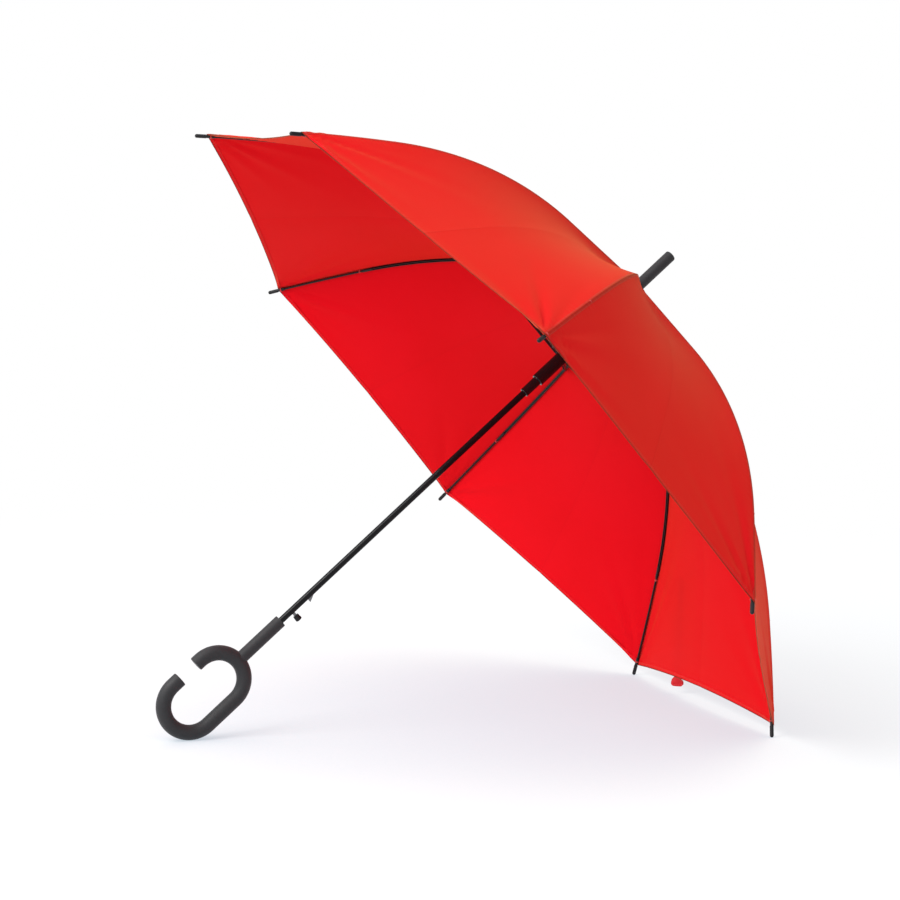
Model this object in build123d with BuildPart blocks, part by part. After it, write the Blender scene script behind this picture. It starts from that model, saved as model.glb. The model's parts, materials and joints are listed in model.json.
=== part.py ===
from build123d import *
import os
from math import acos, asin, atan, atan2, cos, degrees, hypot, radians, sin, tan

# An open stick umbrella with eight ribs, lying on a floor: it rests on two rib tips and on the
# bend of its handle. All sizes are in millimetres and all angles in degrees.
#
# Frame: +Z up, +X from the handle towards the canopy, and the XZ plane halves the umbrella.
# Heights along the shaft are counted from the centre of the circle that the ribs hinge on,
# positive towards the ferrule. The keel direction is square to the shaft and points down.

# --- driving dimensions ------------------------------------------------------------------

RIBS = 8

# shaft, and how far what is fitted round it stands off its surface
SHAFT_DIAMETER = 8.0
SHAFT_WALL = 0.7
SHAFT_TOP = 64.0
RING_OFF_SHAFT = 2.2
COLLAR_OFF_SHAFT = 4.1
NARROW_OFF_SHAFT = 1.95
CATCH_OFF_SHAFT = 4.2
BORE_SLACK = 0.3

# ribs: one arc for the channel, and a flatter one for the rod beyond it
HINGE_RADIUS = SHAFT_DIAMETER / 2 + RING_OFF_SHAFT
RIB_INNER_LENGTH = 437.0
RIB_OUTER_LENGTH = 146.0
RIB_START_SLOPE = 1.0
RIB_JOINT_SLOPE = 41.5
RIB_TIP_SLOPE = 44.5
RIB_WIDTH = 3.2
RIB_DEPTH = 2.8
RIB_WALL = 0.7
ROD_DIAMETER = 2.6
ROD_DROP = 1.9
SLEEVE_DIAMETER = 3.8
SLEEVE_LENGTH = 16.0
TONGUE_LENGTH = 12.0
TONGUE_THICKNESS = 1.4
EYE_RADIUS = 1.45
TONGUE_HALF_HEIGHT = 1.2
ROD_TO_TIP = 6.0

# tips of the ribs
TIP_CAP_LENGTH = 14.0
TIP_CAP_DIAMETER = 4.8
TIP_SOCKET_LENGTH = 11.0
TIP_SOCKET_DIAMETER = 4.0

# stretchers and the brackets that they pivot on
BRACKET_AT = 252.0
PIVOT_DROP = 3.0
BRACKET_LENGTH = 16.0
BRACKET_RADIUS = 1.8
RIVET_DIAMETER = 1.6
STRETCHER_DEPTH = 3.0
STRETCHER_WALL = 0.8
FORK_LENGTH = 12.0

# canopy
FABRIC_THICKNESS = 0.8
# A wide rib needs a wider gap, since the panels slope away from its middle.
FABRIC_GAP = 0.1875 * RIB_WIDTH
HEM_SCALLOP = 10.0
CROWN_HEIGHT = 19.0
CROWN_PATCH_RADIUS = 16.0
PANEL_GAP = 0.3
STRAP_WIDTH = 17.0
STRAP_LENGTH = 150.0
STRAP_THICKNESS = 1.2
STRAP_OVERHANG = 10.0
STRAP_OFFSET = 66.0
STRAP_PAD_LENGTH = 26.0
STRAP_PAD_THICKNESS = 0.6
STRAP_PAD_MARGIN = 3.0

# ferrule
FERRULE_LENGTH = 59.0
FERRULE_DIAMETER = 14.2
FERRULE_ROUNDING = 2.2

# top notch
NOTCH_DIAMETER = SHAFT_DIAMETER + 2 * COLLAR_OFF_SHAFT
NOTCH_TOP = 6.5
NOTCH_BOTTOM = -7.5
NOTCH_SLOT_TOP = 2.2
NOTCH_PIN_HEIGHT = 4.4
WIRE_DIAMETER = 0.9

# runner
RUNNER_TRAVEL = 369.4
RUNNER_WIDE_DIAMETER = SHAFT_DIAMETER + 2 * COLLAR_OFF_SHAFT
RUNNER_NARROW_DIAMETER = SHAFT_DIAMETER + 2 * NARROW_OFF_SHAFT
RUNNER_ABOVE_RING = 5.5
RUNNER_STEP_BELOW_RING = 43.1
RUNNER_NARROW_LENGTH = 23.0
KEY_DIAMETER = 2.0
KEY_BELOW_RING = 8.0
KEY_PLUG_LENGTH = 6.0
RUNNER_ROUNDING = 0.8

# handle: a stem on the shaft, then a C-shaped loop whose straights run along the shaft
STEM_TOP = -591.3
STEM_DIAMETER = 15.6
SHAFT_IN_STEM = 58.0
LOOP_TUBE_DIAMETER = 18.4
LOOP_BEND_RADIUS = 32.8
LOOP_STRAIGHT = 43.7
LOOP_GAP = 24.7
LOOP_GAP_START = 7.0
STEM_TO_LOOP_CENTRE = 102.6
PIN_DIAMETER = 2.0
HANDLE_PIN_LENGTH = 13.0
PIN_BORE_LENGTH = 20.0
BUTTON_ROUNDING = 0.8
BUTTON_STEM_SINK = 2.5
LOOP_END_ROUNDING = 1.5

# release button and catch lever
CATCH_ABOVE_STEM = 42.0
CATCH_LENGTH = 8.7
CATCH_PEAK_RADIUS = SHAFT_DIAMETER / 2 + CATCH_OFF_SHAFT
CATCH_THICKNESS = 2.0
LEVER_THICKNESS = 0.8
LEVER_RADIUS = SHAFT_DIAMETER / 2 - SHAFT_WALL - BORE_SLACK
BUTTON_ABOVE_STEM = 18.0
BUTTON_TRAVEL = 4.0
BUTTON_HEIGHT = 6.6
BUTTON_FOOT = 7.3
BUTTON_FACE = 8.4
BUTTON_STEM_WIDTH = 3.6
RETURN_SPRING_DIAMETER = 2.4
RETURN_SPRING_REACH = 2.9

# opening spring inside the shaft
SPRING_DIAMETER = SHAFT_DIAMETER - 2 * SHAFT_WALL - 2 * BORE_SLACK
SPRING_WIRE = 0.8
SPRING_SEAT_LENGTH = 4.0
SPRING_SEAT_ABOVE_CATCH = 2.5

# clearances
RUNNING_FIT = 0.25
WIRE_FIT = 0.15
PIN_FIT = 0.05
SLOT_FIT = 0.35

# --- places worked out from them -----------------------------------------------------------

RIB_PITCH = 360.0 / RIBS
HALF_PITCH = RIB_PITCH / 2
RIB_LENGTH = RIB_INNER_LENGTH + RIB_OUTER_LENGTH
INNER_ARC_RADIUS = RIB_INNER_LENGTH / radians(RIB_JOINT_SLOPE - RIB_START_SLOPE)
OUTER_ARC_RADIUS = RIB_OUTER_LENGTH / radians(RIB_TIP_SLOPE - RIB_JOINT_SLOPE)


def rib_slope(s):
    """Slope of the rib line below the plane of the rim, at a length s from the hinge."""
    if s <= RIB_INNER_LENGTH:
        return RIB_START_SLOPE + degrees(s / INNER_ARC_RADIUS)
    return RIB_JOINT_SLOPE + degrees((s - RIB_INNER_LENGTH) / OUTER_ARC_RADIUS)


def arc_step(start, slope_a, slope_b, radius):
    """End of an arc that bends from one slope to the other."""
    a, b = radians(slope_a), radians(slope_b)
    return (start[0] + radius * (sin(b) - sin(a)), start[1] - radius * (cos(a) - cos(b)))


RIB_JOINT = arc_step((HINGE_RADIUS, 0), RIB_START_SLOPE, RIB_JOINT_SLOPE, INNER_ARC_RADIUS)


def rib_point(s, out=0.0):
    """Point beside the rib line, as (radius, height), with out counted away from the handle."""
    slope = rib_slope(s)
    if s <= RIB_INNER_LENGTH:
        base = arc_step((HINGE_RADIUS, 0), RIB_START_SLOPE, slope, INNER_ARC_RADIUS)
    else:
        base = arc_step(RIB_JOINT, RIB_JOINT_SLOPE, slope, OUTER_ARC_RADIUS)
    return (base[0] + out * sin(radians(slope)), base[1] + out * cos(radians(slope)))


# The stretcher is as long as its pivot is far from the rib's hinge, so the runner ring stays
# right under the hinge circle and the runner moves straight along the shaft.
PIVOT = rib_point(BRACKET_AT, -PIVOT_DROP)
STRETCHER_LENGTH = hypot(PIVOT[0] - HINGE_RADIUS, PIVOT[1])
PIVOT_SLOPE = degrees(atan2(-PIVOT[1], PIVOT[0] - HINGE_RADIUS))
RING_HEIGHT = -2 * STRETCHER_LENGTH * sin(radians(PIVOT_SLOPE))

RUNNER_TOP = RING_HEIGHT + RUNNER_ABOVE_RING
RUNNER_STEP = RING_HEIGHT - RUNNER_STEP_BELOW_RING
RUNNER_BOTTOM = RUNNER_STEP - RUNNER_NARROW_LENGTH
KEY_HEIGHT = RING_HEIGHT - KEY_BELOW_RING

SHAFT_RADIUS = SHAFT_DIAMETER / 2
BORE_RADIUS = SHAFT_RADIUS - SHAFT_WALL
SHAFT_BOTTOM = STEM_TOP - SHAFT_IN_STEM
CATCH_FACE = STEM_TOP + CATCH_ABOVE_STEM
BUTTON_HEIGHT_ON_SHAFT = STEM_TOP + BUTTON_ABOVE_STEM
SEAT_TOP = CATCH_FACE + CATCH_LENGTH + SPRING_SEAT_ABOVE_CATCH + SPRING_SEAT_LENGTH

LOOP_TUBE_RADIUS = LOOP_TUBE_DIAMETER / 2
LOOP_TOP_CENTRE = STEM_TOP - STEM_TO_LOOP_CENTRE
LOOP_END_CENTRE = LOOP_TOP_CENTRE - LOOP_STRAIGHT
LOOP_OUTER_RADIUS = LOOP_BEND_RADIUS + LOOP_TUBE_RADIUS

# the floor touches the round ends of the two lowest tips and the bend of the loop
TIP_RADIUS = TIP_CAP_DIAMETER / 2
TIP_CENTRE = rib_point(RIB_LENGTH - TIP_RADIUS, -ROD_DROP)
TIP_KEEL = TIP_CENTRE[0] * cos(radians(HALF_PITCH))
TIP_FROM_BEND = hypot(TIP_CENTRE[1] - LOOP_END_CENTRE, TIP_KEEL)
TILT = degrees(atan2(TIP_KEEL, TIP_CENTRE[1] - LOOP_END_CENTRE)
               - asin((LOOP_OUTER_RADIUS - TIP_RADIUS) / TIP_FROM_BEND))

FABRIC_OUTSIDE = FABRIC_GAP + FABRIC_THICKNESS
HEM_AT = RIB_LENGTH - TIP_CAP_LENGTH - PANEL_GAP
STRAP_INSIDE = FABRIC_OUTSIDE + FABRIC_GAP
STRAP_OUTSIDE = STRAP_INSIDE + STRAP_THICKNESS
STRAP_END = HEM_AT + STRAP_OVERHANG - HEM_SCALLOP
STRETCHER_WIDTH = RIB_WIDTH + 2 * (SLOT_FIT + STRETCHER_WALL)
STRAP_START = STRAP_END - STRAP_LENGTH


def forward_of_hub(s, out):
    """How far in +X of the hinge circle's centre the lowest panel reaches, at one place."""
    radius, height = rib_point(s, out)
    keel = radius * cos(radians(HALF_PITCH))
    return height * cos(radians(TILT)) + keel * sin(radians(TILT))


UPRIGHT_SLOPE = degrees(atan(cos(radians(HALF_PITCH)) * tan(radians(TILT))))
UPRIGHT_AT = radians(UPRIGHT_SLOPE - RIB_START_SLOPE) * INNER_ARC_RADIUS
PAD_START = STRAP_START + STRAP_PAD_MARGIN
PAD_OUTSIDE = STRAP_OUTSIDE + STRAP_PAD_THICKNESS
FRONT = max(forward_of_hub(UPRIGHT_AT, FABRIC_OUTSIDE), forward_of_hub(PAD_START, PAD_OUTSIDE))
BACK = LOOP_END_CENTRE * cos(radians(TILT)) - LOOP_OUTER_RADIUS
HUB = Vector(-(FRONT + BACK) / 2, 0, LOOP_OUTER_RADIUS - LOOP_END_CENTRE * sin(radians(TILT)))
SHAFT_DIRECTION = Vector(cos(radians(TILT)), 0, sin(radians(TILT)))
KEEL = Vector(sin(radians(TILT)), 0, -cos(radians(TILT)))


def across(height):
    """Plane square to the shaft: x along the keel direction, z towards the ferrule."""
    return Plane(HUB + SHAFT_DIRECTION * height, x_dir=KEEL, z_dir=SHAFT_DIRECTION)


def meridian(turn):
    """Plane through the shaft's axis: x outward at that angle from the keel, y up the shaft."""
    outward = KEEL * cos(radians(turn)) + Vector(0, 1, 0) * sin(radians(turn))
    return Plane(HUB, x_dir=outward, z_dir=outward.cross(SHAFT_DIRECTION))


def rib_turn(number):
    """Angle of a rib from the keel direction. Ribs 1 and 8 are the two that touch the floor."""
    return HALF_PITCH + (number - 1) * RIB_PITCH


def finish(builder, name):
    builder.part.label = name
    export_step(builder.part, f"parts/{name}.step")


def across_pin_plane(height):
    """Plane along the shaft's axis, centred on a height, square to a pin that runs along Y."""
    return Plane(HUB + SHAFT_DIRECTION * height, x_dir=KEEL, z_dir=(0, 1, 0))


def pin_across(plane, diameter, length, mode=Mode.ADD):
    """Round pin square to a plane, centred on it."""
    with BuildSketch(plane) as section:
        Circle(diameter / 2)
    extrude(section.sketch, amount=length / 2, both=True, mode=mode)


def ring_slots(height, low, high, inner_radius, outer_radius):
    """Slots for the eyes of eight ribs or stretchers, cut into a collar round its ring wire."""
    depth = outer_radius + 1 - inner_radius
    with BuildSketch(across(height + low)) as slots:
        with PolarLocations((inner_radius + outer_radius + 1) / 2, RIBS, start_angle=HALF_PITCH):
            Rectangle(depth, TONGUE_THICKNESS + 2 * SLOT_FIT)
    extrude(slots.sketch, amount=high - low, mode=Mode.SUBTRACT)


def ring_wire(height, diameter, mode=Mode.ADD):
    """Wire ring round the shaft at the hinge radius."""
    with BuildSketch(meridian(0)) as section:
        with Locations((HINGE_RADIUS, height)):
            Circle(diameter / 2)
    revolve(section.sketch, axis=Axis(HUB, SHAFT_DIRECTION), mode=mode)


# --- shaft, ferrule and top notch ------------------------------------------------------------

def make_shaft_tube():
    slot_top = KEY_HEIGHT + KEY_DIAMETER / 2 + SLOT_FIT
    slot_length = RUNNER_TRAVEL + KEY_DIAMETER + 2 * SLOT_FIT
    window_low = CATCH_FACE - SLOT_FIT
    window_length = CATCH_LENGTH + 2 * SLOT_FIT
    with BuildPart() as tube:
        with BuildSketch(across(SHAFT_BOTTOM)):
            Circle(SHAFT_RADIUS)
            Circle(BORE_RADIUS, mode=Mode.SUBTRACT)
        extrude(amount=SHAFT_TOP - SHAFT_BOTTOM)
        # long slot for the runner's key, on the far side
        with BuildSketch(meridian(0)):
            with Locations((0, slot_top - slot_length / 2)):
                Rectangle(KEY_DIAMETER + 2 * SLOT_FIT, slot_length)
        extrude(amount=-SHAFT_DIAMETER, mode=Mode.SUBTRACT)
        # windows for the catch and for the button's stem, on the keel side
        with BuildSketch(meridian(90)):
            with Locations((0, window_low + window_length / 2)):
                Rectangle(CATCH_THICKNESS + 2 * SLOT_FIT, window_length)
            with Locations((0, BUTTON_HEIGHT_ON_SHAFT)):
                Rectangle(CATCH_THICKNESS + 2 * SLOT_FIT, BUTTON_STEM_WIDTH + 2 * SLOT_FIT)
        extrude(amount=SHAFT_DIAMETER, mode=Mode.SUBTRACT)
        pin_across(across_pin_plane(SHAFT_BOTTOM + SHAFT_IN_STEM / 2), PIN_DIAMETER,
                   PIN_BORE_LENGTH, Mode.SUBTRACT)
        pin_across(across_pin_plane(NOTCH_PIN_HEIGHT), PIN_DIAMETER, PIN_BORE_LENGTH, Mode.SUBTRACT)
    finish(tube, "shaft_tube")


def make_ferrule():
    inner = SHAFT_RADIUS + PIN_FIT
    outer = FERRULE_DIAMETER / 2
    with BuildPart() as ferrule:
        with BuildSketch(across(CROWN_HEIGHT)):
            Circle(outer)
        extrude(amount=FERRULE_LENGTH)
        fillet(ferrule.edges().group_by(Axis(HUB, SHAFT_DIRECTION))[-1], FERRULE_ROUNDING)
        with BuildSketch(across(CROWN_HEIGHT)):
            Circle(inner)
        extrude(amount=SHAFT_TOP + PIN_FIT - CROWN_HEIGHT, mode=Mode.SUBTRACT)
    finish(ferrule, "ferrule")


def make_top_notch():
    slot_root = HINGE_RADIUS - EYE_RADIUS - WIRE_FIT
    with BuildPart() as notch:
        with BuildSketch(across(NOTCH_BOTTOM)):
            Circle(NOTCH_DIAMETER / 2)
            Circle(SHAFT_RADIUS + PIN_FIT, mode=Mode.SUBTRACT)
        extrude(amount=NOTCH_TOP - NOTCH_BOTTOM)
        ring_slots(0, NOTCH_BOTTOM, NOTCH_SLOT_TOP, slot_root, NOTCH_DIAMETER / 2)
        ring_wire(0, WIRE_DIAMETER + 2 * PIN_FIT, Mode.SUBTRACT)
        pin_across(across_pin_plane(NOTCH_PIN_HEIGHT), PIN_DIAMETER, PIN_BORE_LENGTH, Mode.SUBTRACT)
    finish(notch, "top_notch")


def make_wire(name, height):
    with BuildPart() as wire:
        ring_wire(height, WIRE_DIAMETER)
    finish(wire, name)


def make_pin(name, height, length):
    with BuildPart() as pin:
        pin_across(across_pin_plane(height), PIN_DIAMETER - 2 * PIN_FIT, length)
    finish(pin, name)


# --- ribs --------------------------------------------------------------------------------------

def rib_band(start, end, top, bottom):
    """Closed outline of a band along one arc of the rib, between two offsets from its line."""
    middle = (start + end) / 2
    with BuildLine() as outline:
        ThreePointArc(rib_point(start, top), rib_point(middle, top), rib_point(end, top))
        Line(rib_point(end, top), rib_point(end, bottom))
        ThreePointArc(rib_point(end, bottom), rib_point(middle, bottom), rib_point(start, bottom))
        Line(rib_point(start, bottom), rib_point(start, top))
    make_face(outline.edges())


def rib_normal_plane(turn, s):
    """Plane square to the rib at a length s, centred on its rod and facing its tip."""
    slope = radians(rib_slope(s))
    plane = meridian(turn)
    radius, height = rib_point(s, -ROD_DROP)
    along = plane.x_dir * cos(slope) - SHAFT_DIRECTION * sin(slope)
    return Plane(plane.from_local_coords((radius, height, 0)), x_dir=plane.z_dir, z_dir=along)


def make_rib_inner(number):
    plane = meridian(rib_turn(number))
    bracket_start = BRACKET_AT - BRACKET_LENGTH / 2
    bracket_end = BRACKET_AT + BRACKET_LENGTH / 2
    sleeve_start = RIB_INNER_LENGTH - SLEEVE_LENGTH
    joint_plane = rib_normal_plane(rib_turn(number), RIB_INNER_LENGTH)
    with BuildPart() as rib:
        # channel, open towards the handle between its closed stretches
        with BuildSketch(plane):
            rib_band(TONGUE_LENGTH - 2, RIB_INNER_LENGTH - SLEEVE_LENGTH / 2, 0, -RIB_DEPTH)
        extrude(amount=RIB_WIDTH / 2, both=True)
        for start, end in ((TONGUE_LENGTH, bracket_start), (bracket_end, sleeve_start)):
            with BuildSketch(plane):
                rib_band(start, end, -RIB_WALL, -RIB_DEPTH - RIB_WALL)
            extrude(amount=RIB_WIDTH / 2 - RIB_WALL, both=True, mode=Mode.SUBTRACT)
        # tongue and eye that turn on the ring wire
        with BuildSketch(plane):
            rib_band(0, TONGUE_LENGTH, 0, -EYE_RADIUS)
            with Locations((HINGE_RADIUS, 0)):
                Circle(EYE_RADIUS)
        extrude(amount=TONGUE_THICKNESS / 2, both=True)
        # boss and rivet for the stretcher
        with BuildSketch(plane):
            with Locations(PIVOT):
                Circle(BRACKET_RADIUS)
        extrude(amount=RIB_WIDTH / 2, both=True)
        with BuildSketch(plane):
            with Locations(PIVOT):
                Circle(RIVET_DIAMETER / 2)
        extrude(amount=STRETCHER_WIDTH / 2 + RUNNING_FIT, both=True)
        # sleeve crimped on the rod
        with BuildSketch(joint_plane):
            Circle(SLEEVE_DIAMETER / 2)
        extrude(amount=-SLEEVE_LENGTH)
        with BuildSketch(joint_plane):
            Circle(ROD_DIAMETER / 2 + PIN_FIT)
        extrude(amount=-SLEEVE_LENGTH, mode=Mode.SUBTRACT)
        with BuildSketch(plane):
            with Locations((HINGE_RADIUS, 0)):
                Circle(WIRE_DIAMETER / 2 + WIRE_FIT)
        extrude(amount=TONGUE_THICKNESS, both=True, mode=Mode.SUBTRACT)
    finish(rib, f"rib_inner_{number}")


def make_rib_outer(number):
    turn = rib_turn(number)
    rod_end = RIB_LENGTH - ROD_TO_TIP
    with BuildPart() as rod:
        with BuildLine(meridian(turn)):
            ThreePointArc(
                rib_point(RIB_INNER_LENGTH, -ROD_DROP),
                rib_point((RIB_INNER_LENGTH + rod_end) / 2, -ROD_DROP),
                rib_point(rod_end, -ROD_DROP),
            )
        with BuildSketch(rib_normal_plane(turn, RIB_INNER_LENGTH)):
            Circle(ROD_DIAMETER / 2)
        sweep()
        with BuildSketch(rib_normal_plane(turn, RIB_INNER_LENGTH)):
            Circle(ROD_DIAMETER / 2)
        extrude(amount=-SLEEVE_LENGTH)
    finish(rod, f"rib_outer_{number}")


def make_rib_tip(number):
    tip_plane = rib_normal_plane(rib_turn(number), RIB_LENGTH)
    with BuildPart() as tip:
        with BuildSketch(tip_plane):
            Circle(TIP_CAP_DIAMETER / 2)
        extrude(amount=-TIP_CAP_LENGTH)
        fillet(tip.edges().sort_by(Axis(tip_plane.origin, tip_plane.z_dir))[-1],
               TIP_CAP_DIAMETER / 2 - PIN_FIT)
        with BuildSketch(tip_plane.offset(-TIP_CAP_LENGTH)):
            Circle(TIP_SOCKET_DIAMETER / 2)
        extrude(amount=-TIP_SOCKET_LENGTH)
        with BuildSketch(tip_plane.offset(-ROD_TO_TIP + WIRE_FIT)):
            Circle(ROD_DIAMETER / 2 + WIRE_FIT)
        extrude(amount=-TIP_CAP_LENGTH - TIP_SOCKET_LENGTH, mode=Mode.SUBTRACT)
    finish(tip, f"rib_tip_{number}")


def make_stretcher(number):
    plane = meridian(rib_turn(number))
    climb = radians(PIVOT_SLOPE)
    along = plane.x_dir * cos(climb) + SHAFT_DIRECTION * sin(climb)
    ring_point = plane.from_local_coords((HINGE_RADIUS, RING_HEIGHT, 0))
    side = Plane(ring_point, x_dir=along, z_dir=plane.z_dir)
    bar_end = STRETCHER_LENGTH - FORK_LENGTH
    with BuildPart() as stretcher:
        with BuildSketch(side):
            with Locations(((TONGUE_LENGTH - 2 + STRETCHER_LENGTH) / 2, 0)):
                Rectangle(STRETCHER_LENGTH - TONGUE_LENGTH + 2, STRETCHER_DEPTH)
            with Locations((STRETCHER_LENGTH, 0)):
                Circle(BRACKET_RADIUS)
        extrude(amount=STRETCHER_WIDTH / 2, both=True)
        # groove along the bar, open towards the handle
        with BuildSketch(side):
            with Locations(((TONGUE_LENGTH + bar_end) / 2, -STRETCHER_WALL)):
                Rectangle(bar_end - TONGUE_LENGTH, STRETCHER_DEPTH)
        extrude(amount=STRETCHER_WIDTH / 2 - STRETCHER_WALL, both=True, mode=Mode.SUBTRACT)
        # fork that straddles the rib
        with BuildSketch(side):
            with Locations((bar_end + FORK_LENGTH, 0)):
                Rectangle(2 * FORK_LENGTH - 4, 2 * STRETCHER_DEPTH)
        extrude(amount=STRETCHER_WIDTH / 2 - STRETCHER_WALL, both=True, mode=Mode.SUBTRACT)
        with BuildSketch(side):
            with Locations((STRETCHER_LENGTH, 0)):
                Circle(RIVET_DIAMETER / 2 + WIRE_FIT)
        extrude(amount=STRETCHER_WIDTH, both=True, mode=Mode.SUBTRACT)
        # tongue and eye that turn on the runner's ring wire
        with BuildSketch(side):
            with Locations((TONGUE_LENGTH / 2, 0)):
                Rectangle(TONGUE_LENGTH, 2 * TONGUE_HALF_HEIGHT)
            Circle(EYE_RADIUS)
        extrude(amount=TONGUE_THICKNESS / 2, both=True)
        with BuildSketch(side):
            Circle(WIRE_DIAMETER / 2 + WIRE_FIT)
        extrude(amount=TONGUE_THICKNESS, both=True, mode=Mode.SUBTRACT)
    finish(stretcher, f"stretcher_{number}")


# --- canopy ------------------------------------------------------------------------------------

# The fabric runs straight from the ferrule until it meets the ribs' curve, then follows it.
ARC_CENTRE = (HINGE_RADIUS - INNER_ARC_RADIUS * sin(radians(RIB_START_SLOPE)),
              -INNER_ARC_RADIUS * cos(radians(RIB_START_SLOPE)))
CROWN_EDGE = (FERRULE_DIAMETER / 2, CROWN_HEIGHT)
CROWN_REACH = hypot(CROWN_EDGE[0] - ARC_CENTRE[0], CROWN_EDGE[1] - ARC_CENTRE[1])
CROWN_SLOPE = degrees(atan2(CROWN_EDGE[0] - ARC_CENTRE[0], CROWN_EDGE[1] - ARC_CENTRE[1])
                      + acos((INNER_ARC_RADIUS + FABRIC_OUTSIDE) / CROWN_REACH))
LANDING = radians(CROWN_SLOPE - RIB_START_SLOPE) * INNER_ARC_RADIUS
GORE_START = CROWN_PATCH_RADIUS / cos(radians(HALF_PITCH)) + PANEL_GAP
HALF_SHARE = cos(radians(HALF_PITCH))
GORE_HALF_WIDTH = rib_point(RIB_LENGTH)[0] * sin(radians(HALF_PITCH)) + TIP_CAP_LENGTH


def crown_point(radius, out):
    """Point of the fabric's straight stretch near the ferrule."""
    landing = rib_point(LANDING, out)
    return (radius, landing[1] + (landing[0] - radius) * tan(radians(CROWN_SLOPE)))


def panel_edge(start, end, out, count=7):
    """Points along a panel's middle, which lies nearer the shaft than the ribs beside it."""
    places = [start + (end - start) * i / (count - 1) for i in range(count)]
    return [(rib_point(s, out)[0] * HALF_SHARE, rib_point(s, out)[1]) for s in places]


def half_panel(turn, side):
    """Half a panel of fabric, from a rib to the middle of the panel beside it."""
    middle = meridian(turn + side * HALF_PITCH)
    outside = panel_edge(LANDING, HEM_AT, FABRIC_OUTSIDE)
    inside = panel_edge(LANDING, HEM_AT, FABRIC_GAP)
    outer_crown = crown_point(GORE_START, FABRIC_OUTSIDE)
    inner_crown = crown_point(GORE_START, FABRIC_GAP)
    hem = rib_point(HEM_AT)
    hem_slope = radians(rib_slope(HEM_AT))
    hem_half = hem[0] * sin(radians(HALF_PITCH))
    hem_plane = Plane(
        middle.from_local_coords((hem[0] * HALF_SHARE, hem[1], 0)),
        x_dir=-middle.z_dir,
        z_dir=middle.x_dir * sin(hem_slope) + SHAFT_DIRECTION * cos(hem_slope),
    )
    with BuildPart() as half:
        with BuildSketch(middle.offset(side * PANEL_GAP / 2)):
            with BuildLine():
                Line((outer_crown[0] * HALF_SHARE, outer_crown[1]), outside[0])
                Spline(*outside)
                Line(outside[-1], inside[-1])
                Spline(*inside)
                Line(inside[0], (inner_crown[0] * HALF_SHARE, inner_crown[1]))
                Line((inner_crown[0] * HALF_SHARE, inner_crown[1]),
                     (outer_crown[0] * HALF_SHARE, outer_crown[1]))
            make_face()
        extrude(amount=side * GORE_HALF_WIDTH)
        split(bisect_by=meridian(turn), keep=Keep.BOTTOM if side > 0 else Keep.TOP)
        # scalloped hem
        with BuildSketch(hem_plane):
            with BuildLine():
                ThreePointArc((-hem_half, 0), (0, HEM_SCALLOP), (hem_half, 0))
                Polyline((hem_half, 0), (hem_half, -HEM_SCALLOP), (-hem_half, -HEM_SCALLOP),
                         (-hem_half, 0))
            make_face()
        extrude(amount=HEM_SCALLOP, both=True, mode=Mode.SUBTRACT)
    return half.part


def make_gore(number):
    turn = rib_turn(number)
    with BuildPart() as gore:
        add(half_panel(turn, -1))
        add(half_panel(turn, 1))
    finish(gore, f"canopy_gore_{number}")


def make_crown_patch():
    inner = SHAFT_RADIUS + PIN_FIT
    outer_edge = crown_point(CROWN_PATCH_RADIUS, FABRIC_OUTSIDE)
    inner_edge = crown_point(CROWN_PATCH_RADIUS, FABRIC_GAP)
    with BuildPart() as patch:
        with BuildSketch(meridian(0)):
            with BuildLine():
                Polyline(
                    (inner, CROWN_HEIGHT - FABRIC_THICKNESS),
                    (CROWN_EDGE[0], CROWN_HEIGHT - FABRIC_THICKNESS),
                    inner_edge, outer_edge, CROWN_EDGE, (inner, CROWN_HEIGHT), close=True,
                )
            make_face()
        revolve(axis=Axis(HUB, SHAFT_DIRECTION))
    finish(patch, "crown_patch")


def strap_band(name, start, end, inside, outside, width):
    """Strip of webbing against the outside of the lowest panel, towards rib 1."""
    with BuildPart() as band:
        with BuildSketch(meridian(0).offset(-STRAP_OFFSET)):
            outer = panel_edge(start, end, outside, 4)
            inner = panel_edge(start, end, inside, 4)
            with BuildLine():
                Spline(*outer)
                Line(outer[-1], inner[-1])
                Spline(*inner)
                Line(inner[0], outer[0])
            make_face()
        extrude(amount=width / 2, both=True)
    finish(band, name)


# --- runner ------------------------------------------------------------------------------------

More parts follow.
